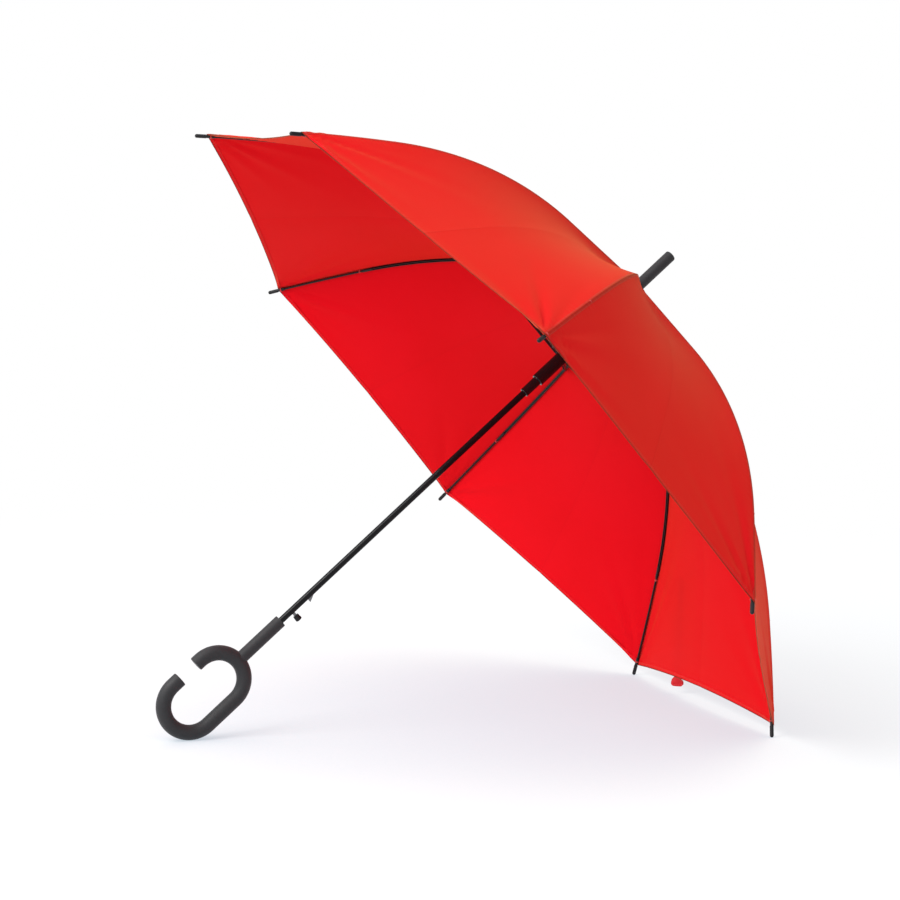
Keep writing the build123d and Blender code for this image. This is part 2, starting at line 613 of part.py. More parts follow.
def make_runner():
    slot_root = HINGE_RADIUS - EYE_RADIUS - WIRE_FIT
    window_low = CATCH_FACE + RUNNER_TRAVEL - SLOT_FIT
    window_length = CATCH_LENGTH + 2 * SLOT_FIT
    with BuildPart() as runner:
        with BuildSketch(across(RUNNER_STEP)):
            Circle(RUNNER_WIDE_DIAMETER / 2)
        extrude(amount=RUNNER_TOP - RUNNER_STEP)
        fillet(runner.edges().group_by(Axis(HUB, SHAFT_DIRECTION))[0], RUNNER_ROUNDING)
        with BuildSketch(across(RUNNER_BOTTOM)):
            Circle(RUNNER_NARROW_DIAMETER / 2)
        extrude(amount=RUNNER_NARROW_LENGTH)
        fillet(runner.edges().group_by(Axis(HUB, SHAFT_DIRECTION))[0], RUNNER_ROUNDING)
        with BuildSketch(across(RUNNER_BOTTOM)):
            Circle(SHAFT_RADIUS + RUNNING_FIT)
        extrude(amount=RUNNER_TOP - RUNNER_BOTTOM, mode=Mode.SUBTRACT)
        ring_slots(RING_HEIGHT, -EYE_RADIUS - SLOT_FIT, RUNNER_ABOVE_RING, slot_root,
                   RUNNER_WIDE_DIAMETER / 2)
        ring_wire(RING_HEIGHT, WIRE_DIAMETER + 2 * PIN_FIT, Mode.SUBTRACT)
        # window that the catch springs into
        with BuildSketch(meridian(90)):
            with Locations((0, window_low + window_length / 2)):
                Rectangle(CATCH_THICKNESS + 2 * SLOT_FIT, window_length)
        extrude(amount=RUNNER_WIDE_DIAMETER, mode=Mode.SUBTRACT)
        # hole for the key, on the far side
        with BuildSketch(across_pin_plane(KEY_HEIGHT)):
            Circle(KEY_DIAMETER / 2 + PIN_FIT)
        extrude(amount=RUNNER_WIDE_DIAMETER, mode=Mode.SUBTRACT)
    finish(runner, "runner")


def make_runner_key():
    with BuildPart() as key:
        with BuildSketch(across(KEY_HEIGHT - KEY_PLUG_LENGTH / 2)):
            Circle(BORE_RADIUS - RUNNING_FIT)
        extrude(amount=KEY_PLUG_LENGTH)
        with BuildSketch(across_pin_plane(KEY_HEIGHT)):
            Circle(KEY_DIAMETER / 2)
        extrude(amount=RUNNER_WIDE_DIAMETER / 2 - RUNNING_FIT)
    finish(key, "runner_key")


def make_tube(name, low, high, outer, inner):
    with BuildPart() as tube:
        with BuildSketch(across(low)):
            Circle(outer)
            if inner:
                Circle(inner, mode=Mode.SUBTRACT)
        extrude(amount=high - low)
    finish(tube, name)


# --- handle, button and catch --------------------------------------------------------------------

def make_handle_grip():
    gap_top = LOOP_TOP_CENTRE - LOOP_GAP_START
    gap_bottom = gap_top - LOOP_GAP
    bend = LOOP_BEND_RADIUS
    start_plane = Plane(meridian(0).from_local_coords((-bend, gap_top, 0)), x_dir=KEEL,
                        z_dir=SHAFT_DIRECTION)
    with BuildPart() as grip:
        with BuildLine(meridian(0)):
            Line((-bend, gap_top), (-bend, LOOP_TOP_CENTRE))
            ThreePointArc((-bend, LOOP_TOP_CENTRE), (0, LOOP_TOP_CENTRE + bend),
                          (bend, LOOP_TOP_CENTRE))
            Line((bend, LOOP_TOP_CENTRE), (bend, LOOP_END_CENTRE))
            ThreePointArc((bend, LOOP_END_CENTRE), (0, LOOP_END_CENTRE - bend),
                          (-bend, LOOP_END_CENTRE))
            Line((-bend, LOOP_END_CENTRE), (-bend, gap_bottom))
        with BuildSketch(start_plane):
            Circle(LOOP_TUBE_RADIUS)
        sweep()
        ends = grip.faces().filter_by(GeomType.PLANE).edges()
        fillet(ends, LOOP_END_ROUNDING)
        with BuildSketch(across(STEM_TOP)):
            Circle(STEM_DIAMETER / 2)
        extrude(amount=LOOP_TOP_CENTRE + bend - STEM_TOP)
        with BuildSketch(across(STEM_TOP)):
            Circle(SHAFT_RADIUS + PIN_FIT)
        extrude(amount=-SHAFT_IN_STEM - PIN_FIT, mode=Mode.SUBTRACT)
        pin_across(across_pin_plane(SHAFT_BOTTOM + SHAFT_IN_STEM / 2), PIN_DIAMETER,
                   HANDLE_PIN_LENGTH + 2 * PIN_FIT, Mode.SUBTRACT)
    finish(grip, "handle_grip")


def button_plane(out):
    """Plane that faces along the keel direction, over the button, at a distance from the axis."""
    centre = HUB + SHAFT_DIRECTION * BUTTON_HEIGHT_ON_SHAFT + KEEL * out
    return Plane(centre, x_dir=SHAFT_DIRECTION, z_dir=KEEL)


BUTTON_FOOT_RADIUS = SHAFT_RADIUS + BUTTON_TRAVEL + RUNNING_FIT


def make_release_button():
    with BuildPart() as button:
        with BuildSketch(button_plane(BUTTON_FOOT_RADIUS)):
            Circle(BUTTON_FOOT / 2)
        with BuildSketch(button_plane(BUTTON_FOOT_RADIUS + BUTTON_HEIGHT)):
            Circle(BUTTON_FACE / 2)
        loft()
        fillet(button.edges().sort_by(Axis(HUB, KEEL))[-1], BUTTON_ROUNDING)
        with BuildSketch(button_plane(BUTTON_FOOT_RADIUS)):
            Rectangle(BUTTON_STEM_WIDTH + 2 * PIN_FIT, CATCH_THICKNESS + 2 * PIN_FIT)
        extrude(amount=BUTTON_STEM_SINK + PIN_FIT, mode=Mode.SUBTRACT)
    finish(button, "release_button")


def make_catch_lever():
    inner = LEVER_RADIUS - LEVER_THICKNESS
    lever_low = BUTTON_HEIGHT_ON_SHAFT - BUTTON_STEM_WIDTH
    lever_high = CATCH_FACE + CATCH_LENGTH
    stem_low = BUTTON_HEIGHT_ON_SHAFT - BUTTON_STEM_WIDTH / 2
    stem_high = BUTTON_HEIGHT_ON_SHAFT + BUTTON_STEM_WIDTH / 2
    stem_end = BUTTON_FOOT_RADIUS + BUTTON_STEM_SINK
    with BuildPart() as lever:
        with BuildSketch(meridian(0)):
            with BuildLine():
                Polyline(
                    (inner, lever_low), (LEVER_RADIUS, lever_low),
                    (LEVER_RADIUS, stem_low), (stem_end, stem_low), (stem_end, stem_high),
                    (LEVER_RADIUS, stem_high), (LEVER_RADIUS, CATCH_FACE),
                    (CATCH_PEAK_RADIUS, CATCH_FACE), (SHAFT_RADIUS, lever_high),
                    (inner, lever_high), close=True,
                )
            make_face()
        extrude(amount=CATCH_THICKNESS / 2, both=True)
    finish(lever, "catch_lever")


def make_return_spring():
    with BuildPart() as spring:
        with BuildSketch(button_plane(-RETURN_SPRING_REACH)):
            Circle(RETURN_SPRING_DIAMETER / 2)
            Circle(RETURN_SPRING_DIAMETER / 4, mode=Mode.SUBTRACT)
        extrude(amount=RETURN_SPRING_REACH + LEVER_RADIUS - LEVER_THICKNESS - PIN_FIT)
    finish(spring, "return_spring")


# --- the whole umbrella --------------------------------------------------------------------------

os.makedirs("parts", exist_ok=True)
make_shaft_tube()
make_ferrule()
make_top_notch()
make_wire("top_notch_wire", 0)
make_pin("top_notch_pin", NOTCH_PIN_HEIGHT, NOTCH_DIAMETER - PIN_DIAMETER)
make_crown_patch()
make_handle_grip()
make_pin("handle_pin", SHAFT_BOTTOM + SHAFT_IN_STEM / 2, HANDLE_PIN_LENGTH)
make_runner()
make_wire("runner_wire", RING_HEIGHT)
make_runner_key()
make_release_button()
make_catch_lever()
make_return_spring()
make_tube("spring_seat", SEAT_TOP - SPRING_SEAT_LENGTH, SEAT_TOP, BORE_RADIUS - PIN_FIT, 0)
make_tube("opening_spring", SEAT_TOP + PIN_FIT, KEY_HEIGHT - KEY_PLUG_LENGTH / 2 - PIN_FIT,
          SPRING_DIAMETER / 2, SPRING_DIAMETER / 2 - SPRING_WIRE)
strap_band("closing_strap", STRAP_START, STRAP_END, STRAP_INSIDE, STRAP_OUTSIDE, STRAP_WIDTH)
strap_band("strap_pad", PAD_START, PAD_START + STRAP_PAD_LENGTH, STRAP_OUTSIDE, PAD_OUTSIDE,
           STRAP_WIDTH - STRAP_PAD_MARGIN)
for rib_number in range(1, RIBS + 1):
    make_rib_inner(rib_number)
    make_rib_outer(rib_number)
    make_rib_tip(rib_number)
    make_stretcher(rib_number)
    make_gore(rib_number)
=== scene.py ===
"""Looks of an open stick umbrella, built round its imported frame.

The canopy, its closing strap and the threads that tie it to the ribs are made here. The shaft,
handle, runner, ribs and stretchers are the frame's own pieces with painted, moulded and metal
finishes. Sizes are in metres and angles in radians.
"""

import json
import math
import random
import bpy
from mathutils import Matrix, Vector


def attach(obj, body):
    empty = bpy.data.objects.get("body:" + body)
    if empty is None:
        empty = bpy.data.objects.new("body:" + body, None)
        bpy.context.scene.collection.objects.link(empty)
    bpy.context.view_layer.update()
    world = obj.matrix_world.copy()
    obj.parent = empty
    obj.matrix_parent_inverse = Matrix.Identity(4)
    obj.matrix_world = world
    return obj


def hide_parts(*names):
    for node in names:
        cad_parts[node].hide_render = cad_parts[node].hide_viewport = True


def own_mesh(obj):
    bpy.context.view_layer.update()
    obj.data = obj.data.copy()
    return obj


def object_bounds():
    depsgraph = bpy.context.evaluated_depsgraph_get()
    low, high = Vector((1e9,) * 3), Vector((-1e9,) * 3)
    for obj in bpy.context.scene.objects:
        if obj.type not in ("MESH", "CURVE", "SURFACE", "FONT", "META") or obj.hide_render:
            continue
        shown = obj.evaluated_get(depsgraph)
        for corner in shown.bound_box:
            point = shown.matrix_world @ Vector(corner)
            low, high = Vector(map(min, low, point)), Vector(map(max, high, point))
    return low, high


bl_info = {
    "name": "Stick Umbrella",
    "version": (1, 0, 0),
    "blender": (4, 5, 0),
    "location": "View3D > Sidebar > Umbrella",
    "description": "Builds the canopy, strap, ties and finishes of a stick umbrella",
    "category": "Object",
}

import bmesh
import bpy
from bpy.props import FloatProperty, FloatVectorProperty, IntProperty, PointerProperty
from mathutils import Euler, Matrix, Quaternion, Vector

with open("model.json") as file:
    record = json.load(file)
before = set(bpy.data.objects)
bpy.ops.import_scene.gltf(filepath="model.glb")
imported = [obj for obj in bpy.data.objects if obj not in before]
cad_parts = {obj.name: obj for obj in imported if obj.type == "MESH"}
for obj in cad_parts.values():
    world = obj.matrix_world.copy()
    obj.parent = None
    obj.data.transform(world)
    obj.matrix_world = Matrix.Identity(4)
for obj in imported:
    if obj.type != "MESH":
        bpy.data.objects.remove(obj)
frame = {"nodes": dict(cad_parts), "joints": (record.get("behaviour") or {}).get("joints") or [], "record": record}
CAD_BOX = [list(corner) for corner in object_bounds()]

# --- where the frame's ribs are ------------------------------------------------------------

RIBS = sorted(
    (joint for joint in frame["joints"] if joint["name"].startswith("rib_fold_")),
    key=lambda joint: int(joint["name"].rsplit("_", 1)[1]),
)
SHAFT = Vector(frame["record"]["mounts"][0]["axis"]).normalized()
HUB = sum((Vector(joint["pos_m"]) for joint in RIBS), Vector()) / len(RIBS)
HINGES = [Vector(joint["pos_m"]) for joint in RIBS]
OUTWARD = [(hinge - HUB).normalized() for hinge in HINGES]
HINGE_RADIUS = (HINGES[0] - HUB).length
PITCH = 2 * math.pi / len(RIBS)


# --- sizes and colours that a user would change ----------------------------------------------

def length(name, description, default):
    return FloatProperty(name=name, description=description, default=default, min=0.0,
                         unit="LENGTH", precision=4)


def angle(name, description, degrees):
    return FloatProperty(name=name, description=description, default=math.radians(degrees),
                         unit="ROTATION")


def colour(name, description, default):
    return FloatVectorProperty(name=name, description=description, default=default, size=3,
                               min=0.0, max=1.0, subtype="COLOR")


class CanopySettings(bpy.types.PropertyGroup):
    channel_length: length("Channel length", "Steel part of a rib, from its hinge", 0.437)
    rod_length: length("Rod length", "Springy part of a rib, beyond the channel", 0.146)
    start_slope: angle("Slope at the hinge", "How far a rib points down where it starts", 1.0)
    joint_slope: angle("Slope at the joint", "How far it points down where the rod starts", 41.5)
    tip_slope: angle("Slope at the tip", "How far it points down at its tip", 44.5)
    crown_slope: angle("Slope at the crown", "Slope of the fabric next to the ferrule", 14.553)
    tip_length: length("Tip length", "Length of a rib's cap beyond the hem", 0.0143)
    above_rib: length("Height over the ribs", "From the top of a rib to the fabric", 0.0011)
    thickness: length("Fabric thickness", "Thickness of one layer", 0.0004)
    scallop: length("Hem scallop", "How far the hem curves in between two tips", 0.010)
    sag: length("Sag", "How far a panel draws in between its ribs", 0.0095)
    crown_sag: length("Sag at the crown", "How much further it draws in near the crown", 0.0085)
    crease: length("Crease", "How far the fold down a panel's middle stands out", 0.0005)
    wrinkle: length("Wrinkles", "Height of the pulls that fan out from a tip", 0.0020)
    hem_fold: length("Hem fold", "Width of the fabric turned in along the hem", 0.0055)
    patch_radius: length("Crown patch", "Radius of the patch round the ferrule", 0.0165)
    patch_top: length("Patch height", "Highest point of the patch over the hub", 0.0192)
    cloth: colour("Fabric", "Colour of the woven fabric", (0.84, 0.004, 0.016))
    cloth_deep: colour("Fabric in its folds", "Its deeper tone", (0.77, 0.003, 0.010))
    seam: colour("Seams", "Where the fabric lies double", (0.46, 0.002, 0.008))
    edge: colour("Hem edge", "The turned edge and its thread", (0.12, 0.012, 0.010))
    thread: colour("Thread", "Sewing thread", (0.72, 0.05, 0.05))
    sheen: colour("Sheen", "Tint of the fabric's sheen", (1.0, 0.40, 0.12))


class StrapSettings(bpy.types.PropertyGroup):
    width: length("Width", "Width of the closing strap", 0.017)
    span: length("Length", "Length of the closing strap", 0.150)
    thickness: length("Thickness", "Thickness of the folded strap", 0.0012)
    from_middle: length("Offset", "From the middle of the lowest panel", 0.066)
    twist: angle("Twist", "How far the free end turns beyond the hem", -48)
    off_cloth: length("Clearance", "From the fabric to the strap's middle", 0.0015)
    pad_width: length("Pad width", "Width of the hook-and-loop pad", 0.014)
    pad_span: length("Pad length", "Length of the hook-and-loop pad", 0.026)


class FinishSettings(bpy.types.PropertyGroup):
    lacquer: colour("Lacquer", "Shaft", (0.004, 0.004, 0.005))
    soft_touch: colour("Soft touch", "Handle and ferrule", (0.010, 0.010, 0.012))
    gloss: colour("Gloss plastic", "Runner and top notch", (0.005, 0.005, 0.006))
    moulded: colour("Moulded plastic", "Button and tips", (0.007, 0.007, 0.008))
    rib_paint: colour("Rib paint", "Steel ribs and stretchers", (0.006, 0.006, 0.007))
    rod: colour("Rod", "Glass-fibre rods", (0.005, 0.005, 0.006))
    steel: colour("Steel", "Wires, pins and springs", (0.20, 0.20, 0.21))


class StageSettings(bpy.types.PropertyGroup):
    lens: FloatProperty(name="Lens", description="Focal length", default=99.25, min=10.0)
    key_power: FloatProperty(name="Key light", description="Power in watts", default=165.0)
    bright_side: FloatProperty(name="Bright side", description="Room light from the upper left",
                               default=1.25)
    dim_side: FloatProperty(name="Dim side", description="Room light from the lower right",
                            default=0.30)
    floor: colour("Floor", "Colour of the floor", (0.92, 0.945, 0.97))
    # Colour of the painted shadow on the glowing floor under the umbrella
    shade: colour("Shade", "Colour of the floor under the umbrella", (0.70, 0.78, 0.86))
    glow: FloatProperty(name="Floor glow", description="Share of the floor lit from below",
                        default=0.72, min=0.0, max=1.0)
    seed: IntProperty(name="Seed", description="Seed for small irregularities", default=8)


# --- shader maths ------------------------------------------------------------------------------

class Wire:
    """A value or colour leaving a node, with the usual operators for its maths."""

    def __init__(self, finish, socket):
        self.finish, self.socket = finish, socket

    def maths(self, operation, *values):
        return self.finish.node("ShaderNodeMath", {"operation": operation},
                                dict(enumerate(values)))

    def __add__(self, other):
        return self.maths("ADD", self, other)

    def __sub__(self, other):
        return self.maths("SUBTRACT", self, other)

    def __mul__(self, other):
        return self.maths("MULTIPLY", self, other)

    def __mod__(self, other):
        return self.maths("FLOORED_MODULO", self, other)

    def __abs__(self):
        return self.maths("ABSOLUTE", self)

    def sine(self):
        return self.maths("SINE", self)

    def rise(self, low, high):
        """0 below low, 1 above high, and smooth between them. It falls if low is the larger."""
        return self.finish.node("ShaderNodeMapRange", {"interpolation_type": "SMOOTHSTEP"},
                                {"Value": self, "From Min": low, "From Max": high})

    def band(self, centre, half, soft):
        """1 within half of the centre, 0 outside, with a soft edge."""
        return abs(self - centre).rise(half + soft, half)


class Finish:
    """A material's node tree, filled one node at a time."""

    def __init__(self, name):
        self.material = bpy.data.materials.new(name)
        self.material.use_nodes = True
        self.tree = self.material.node_tree
        self.tree.nodes.clear()
        self.output = self.tree.nodes.new("ShaderNodeOutputMaterial")

    def node(self, kind, settings=None, inputs=None, out=0):
        """Adds a node, sets it, links or fills its inputs, and gives the wire that leaves it."""
        node = self.tree.nodes.new(kind)
        for key, value in (settings or {}).items():
            setattr(node, key, value)
        for key, value in (inputs or {}).items():
            if isinstance(value, Wire):
                self.tree.links.new(value.socket, node.inputs[key])
            else:
                node.inputs[key].default_value = value
        return Wire(self, node.outputs[out])

    def place(self):
        return self.node("ShaderNodeTexCoord", out="Object")

    def noise(self, at, scale, detail=3.0, roughness=0.5):
        return self.node("ShaderNodeTexNoise", {"noise_dimensions": "3D"},
                         {"Vector": at, "Scale": scale, "Detail": detail,
                          "Roughness": roughness})

    def stretched(self, at, scale):
        return self.node("ShaderNodeMapping", {"vector_type": "POINT"},
                         {"Vector": at, "Scale": scale})

    def mix(self, factor, first, second):
        """Colour between two colours."""
        return self.node("ShaderNodeMix", {"data_type": "RGBA", "clamp_factor": True},
                         {0: factor, 6: opaque(first), 7: opaque(second)}, out=2)

    def bump(self, height, distance, strength=1.0, normal=None):
        inputs = {"Height": height, "Distance": distance, "Strength": strength}
        if normal is not None:
            inputs["Normal"] = normal
        return self.node("ShaderNodeBump", None, inputs)

    def surface(self, **sockets):
        """Principled shader; an underscore in a name stands for a space."""
        return self.node("ShaderNodeBsdfPrincipled", None,
                         {name.replace("_", " "): value for name, value in sockets.items()})

    def close(self, shader):
        self.tree.links.new(shader.socket, self.output.inputs["Surface"])
        return self.material


def opaque(value):
    return value if isinstance(value, Wire) else (*value, 1.0)


def darker(value, by):
    return tuple(channel * by for channel in value)


# --- finishes ----------------------------------------------------------------------------------

WEAVE = 2 * math.pi / 0.0008  # one thread over and one under in 0.8 mm
SEAM_HALF = 0.0033
STITCH_IN_SEAM = 0.0024
STITCH_IN_HEM = 0.0014
STITCH_PITCH = 0.0030

def woven_cloth(name, canopy, sewn=True):
    """Plain-woven cloth with slubs, and the seam, hem, crease with painted shade along it, and stitches of a gore.
    """
    f = Finish(name)
    uv = f.node("ShaderNodeUVMap", {"uv_map": "cloth"})
    across = f.node("ShaderNodeSeparateXYZ", None, {0: uv}, out="X")
    along = f.node("ShaderNodeSeparateXYZ", None, {0: uv}, out="Y")
    place = f.place()
    cloudy = f.noise(place, 7.0, 2.0)
    slub = f.noise(f.stretched(uv, (60.0, 1400.0, 1.0)), 1.0, 2.0)
    slub_across = f.noise(f.stretched(uv, (1400.0, 60.0, 1.0)), 1.0, 2.0)
    threads = (across * WEAVE).sine() * (along * WEAVE).sine()
    tone = cloudy.rise(0.35, 0.65) * 0.35 + slub * 0.22 + slub_across * 0.22
    red = f.mix(tone, tuple(canopy.cloth), tuple(canopy.cloth_deep))
    height = threads * 0.25 + slub * 0.45 + slub_across * 0.45
    if sewn:
        middle = f.node("ShaderNodeAttribute", {"attribute_name": "from_middle"}, out="Fac")
        seam = abs(across).rise(SEAM_HALF + 0.0003, SEAM_HALF - 0.0003)
        gutter = abs(across).band(0.0, 0.0004, 0.0004)
        hem = along.rise(canopy.hem_fold + 0.0006, canopy.hem_fold)
        edge = along.rise(0.0016, 0.0010)
        seam_stitch = abs(across).band(STITCH_IN_SEAM, 0.00025, 0.0002) * (
            (along % STITCH_PITCH).rise(0.0019, 0.0022) * -1.0 + 1.0)
        hem_stitch = along.band(canopy.hem_fold - STITCH_IN_HEM, 0.00025, 0.0002) * (
            (across % STITCH_PITCH).rise(0.0019, 0.0022) * -1.0 + 1.0)
        stitch = seam_stitch + hem_stitch
        pucker = f.noise(f.stretched(uv, (40.0, 210.0, 1.0)), 1.0, 1.0) * abs(across).rise(
            0.022, 0.003)
        hem_pucker = f.noise(f.stretched(uv, (170.0, 60.0, 1.0)), 1.0, 1.0) * along.rise(
            0.020, 0.004)
        # fold marks the crease down the panel's middle, where a little painted shade goes
        fold = middle.rise(0.0016, 0.0)
        double = (seam + hem).rise(0.0, 1.0)
        red = f.mix(seam * 0.75, red, tuple(canopy.seam))
        red = f.mix(hem * 0.18, red, tuple(canopy.seam))
        red = f.mix(gutter * 0.5, red, darker(canopy.seam, 0.45))
        # painted shade along the middle crease, in the seam colour
        red = f.mix(fold * 0.08, red, tuple(canopy.seam))
        red = f.mix(stitch * 0.7, red, tuple(canopy.thread))
        red = f.mix(edge * 0.85, red, tuple(canopy.edge))
        coarse = (seam * 0.5 + hem * 0.35 + stitch * 0.35 - gutter * 0.6 + fold * 0.15
                  + pucker * 1.5 + hem_pucker * 1.3)
        normal = f.bump(height, 0.00006, 0.55, f.bump(coarse, 0.0005, 0.8))
    else:
        normal = f.bump(height, 0.00006, 0.6)
    cloth = f.surface(Base_Color=red, Roughness=slub * 0.16 + 0.50, Normal=normal,
                      Specular_IOR_Level=0.03, Sheen_Weight=0.32, Sheen_Roughness=0.45,
                      Sheen_Tint=opaque(tuple(canopy.sheen)))
    glow = f.node("ShaderNodeBsdfTranslucent", None, {"Color": opaque(tuple(canopy.cloth))})
    through = double * -0.20 + 0.34 if sewn else 0.16
    return f.close(f.node("ShaderNodeMixShader", None, {0: through, 1: cloth, 2: glow}))


def strap_cloth(name, canopy, strap):
    """Folded strip of the same cloth, stitched along both edges and across its sewn end."""
    f = Finish(name)
    uv = f.node("ShaderNodeUVMap", {"uv_map": "cloth"})
    across = f.node("ShaderNodeSeparateXYZ", None, {0: uv}, out="X")
    along = f.node("ShaderNodeSeparateXYZ", None, {0: uv}, out="Y")
    slub = f.noise(f.stretched(uv, (1400.0, 90.0, 1.0)), 1.0, 2.0)
    weave = (across * WEAVE).sine() * (along * WEAVE).sine()
    rows = abs(across).band(strap.width / 2 - 0.0018, 0.00022, 0.0002) * (
        (along % 0.0028).rise(0.0021, 0.0018))
    ends = (along.band(strap.span - 0.0025, 0.0003, 0.0002)
            + along.band(0.0022, 0.0003, 0.0002)) * (across % 0.0028).rise(0.0021, 0.0018)
    stitch = rows + ends
    red = f.mix(slub * 0.6, darker(canopy.cloth, 0.62), tuple(canopy.seam))
    red = f.mix(stitch * 0.7, red, tuple(canopy.thread))
    coarse = f.noise(f.stretched(uv, (60.0, 260.0, 1.0)), 1.0, 1.0) - stitch * 0.5
    normal = f.bump(weave * 0.3 + slub * 0.6, 0.00006, 0.6, f.bump(coarse, 0.0004, 0.6))
    return f.close(f.surface(Base_Color=red, Roughness=slub * 0.15 + 0.55, Normal=normal,
                             Sheen_Weight=0.3, Sheen_Roughness=0.45, Specular_IOR_Level=0.3,
                             Sheen_Tint=opaque(tuple(canopy.sheen))))


def hook_tape(name, canopy):
    """Looped side of a hook-and-loop pad: a mat of small curls."""
    f = Finish(name)
    place = f.place()
    curls = f.node("ShaderNodeTexVoronoi", {"feature": "SMOOTH_F1"},
                   {"Vector": place, "Scale": 1300.0, "Smoothness": 0.4})
    fuzz = f.noise(place, 2600.0, 3.0)
    shade = f.mix(curls.rise(0.1, 0.7), darker(canopy.cloth, 0.55), darker(canopy.seam, 0.6))
    return f.close(f.surface(Base_Color=shade, Roughness=fuzz * 0.2 + 0.75, Sheen_Weight=0.5,
                             Sheen_Roughness=0.6, Specular_IOR_Level=0.2,
                             Normal=f.bump(curls + fuzz * 0.5, 0.0004, 0.9)))


def sewing_thread(name, canopy):
    """Twisted polyester thread."""
    f = Finish(name)
    place = f.place()
    ply = f.node("ShaderNodeTexWave", {"wave_type": "BANDS", "bands_direction": "DIAGONAL"},
                 {"Vector": place, "Scale": 900.0, "Distortion": 1.5})
    tone = f.mix(ply * 0.5, tuple(canopy.thread), darker(canopy.thread, 0.5))
    return f.close(f.surface(Base_Color=tone, Roughness=f.noise(place, 900.0) * 0.2 + 0.45,
                             Sheen_Weight=0.25, Normal=f.bump(ply, 0.0001, 0.6)))


def shaft_lacquer(name, finishes):
    """Glossy black lacquer with a faint waviness, dust and rubbed specks."""
    f = Finish(name)
    place = f.place()
    waviness = f.noise(place, 90.0, 1.0)
    dust = f.noise(place, 1500.0, 2.0).rise(0.62, 0.78)
    rub = f.noise(place, 38.0, 5.0, 0.7).rise(0.55, 0.75)
    tone = f.mix(rub * 0.25 + dust * 0.2, tuple(finishes.lacquer), (0.03, 0.03, 0.033))
    return f.close(f.surface(Base_Color=tone, Roughness=rub * 0.10 + dust * 0.12 + 0.16,
                             Specular_IOR_Level=0.14, Coat_Weight=rub * -0.04 + 0.06,
                             Coat_Roughness=0.06,
                             Normal=f.bump(waviness + dust * 0.1, 0.00012, 0.5)))


def soft_touch(name, finishes):
    """Matt rubbery coating: a very fine grain, and smoother patches where hands rub it."""
    f = Finish(name)
    place = f.place()
    grain = f.noise(place, 2400.0, 3.0, 0.6)
    rubbed = f.noise(place, 24.0, 3.0).rise(0.45, 0.72)
    bloom = f.noise(place, 210.0, 4.0).rise(0.4, 0.7)
    tone = f.mix(bloom * 0.45 + grain * 0.2, tuple(finishes.soft_touch),
                 darker(finishes.soft_touch, 1.6))
    return f.close(f.surface(Base_Color=tone, Roughness=grain * 0.10 - rubbed * 0.10 + 0.60,
                             Specular_IOR_Level=0.42, Sheen_Weight=0.12, Sheen_Roughness=0.5,
                             Normal=f.bump(grain, 0.00012, 0.6)))


def gloss_plastic(name, finishes):
    """Polished moulded plastic with slight flow marks and hairline scratches."""
    f = Finish(name)
    place = f.place()
    flow = f.noise(f.stretched(place, (40.0, 160.0, 40.0)), 1.0, 2.0)
    scratch = f.noise(f.stretched(place, (2600.0, 160.0, 900.0)), 1.0, 1.0).rise(0.66, 0.74)
    tone = f.mix(flow * 0.4, tuple(finishes.gloss), darker(finishes.gloss, 1.9))
    return f.close(f.surface(Base_Color=tone, Roughness=scratch * 0.18 + flow * 0.05 + 0.12,
                             Specular_IOR_Level=0.25, Coat_Weight=0.12, Coat_Roughness=0.08,
                             Normal=f.bump(flow - scratch * 0.2, 0.00010, 0.4)))


def moulded_plastic(name, finishes):
    """Spark-eroded grain of a small moulded part."""
    f = Finish(name)
    place = f.place()
    grain = f.node("ShaderNodeTexVoronoi", {"feature": "F1"}, {"Vector": place,
                                                               "Scale": 2200.0})
    cloud = f.noise(place, 120.0, 3.0)
    tone = f.mix(cloud * 0.5, tuple(finishes.moulded), darker(finishes.moulded, 1.7))
    return f.close(f.surface(Base_Color=tone, Roughness=cloud * 0.16 + 0.38,
                             Specular_IOR_Level=0.25,
                             Normal=f.bump(grain, 0.00008, 0.5)))


def rib_paint(name, finishes):
    """Thin black paint on steel strip, with small chips that show the steel."""
    f = Finish(name)
    place = f.place()
    peel = f.noise(place, 600.0, 2.0)
    chips = f.noise(place, 420.0, 5.0, 0.7).rise(0.70, 0.74)
    worn = f.noise(place, 30.0, 3.0).rise(0.5, 0.7)
    tone = f.mix(worn * 0.35, tuple(finishes.rib_paint), darker(finishes.rib_paint, 2.2))
    tone = f.mix(chips * 0.6, tone, (0.22, 0.22, 0.23))
    return f.close(f.surface(Base_Color=tone, Metallic=chips * 0.8,
                             Roughness=peel * 0.15 + worn * 0.08 + 0.30,
                             Specular_IOR_Level=0.28,
                             Normal=f.bump(peel - chips * 0.6, 0.00008, 0.5)))


def glass_fibre(name, finishes):
    """Pultruded rod: lengthwise fibres under a thin resin skin."""
    f = Finish(name)
    place = f.place()
    fibres = f.noise(f.stretched(place, (900.0, 900.0, 260.0)), 1.0, 4.0)
    cloud = f.noise(place, 70.0, 2.0)
    tone = f.mix(fibres * 0.7, tuple(finishes.rod), darker(finishes.rod, 2.4))
    return f.close(f.surface(Base_Color=tone, Roughness=cloud * 0.18 + 0.32,
                             Specular_IOR_Level=0.22, Normal=f.bump(fibres, 0.00008, 0.5)))


def plain_steel(name, finishes):
    """Drawn wire and pressed spring steel, a little tarnished."""
    f = Finish(name)
    place = f.place()
    drawn = f.noise(f.stretched(place, (1800.0, 220.0, 1800.0)), 1.0, 2.0)
    tarnish = f.noise(place, 140.0, 4.0).rise(0.45, 0.75)
    tone = f.mix(tarnish * 0.5, tuple(finishes.steel), (0.09, 0.085, 0.08))
    return f.close(f.surface(Base_Color=tone, Metallic=1.0,
                             Roughness=drawn * 0.16 + tarnish * 0.14 + 0.22,
                             Normal=f.bump(drawn, 0.00006, 0.5)))


# --- shape of the fabric -----------------------------------------------------------------------

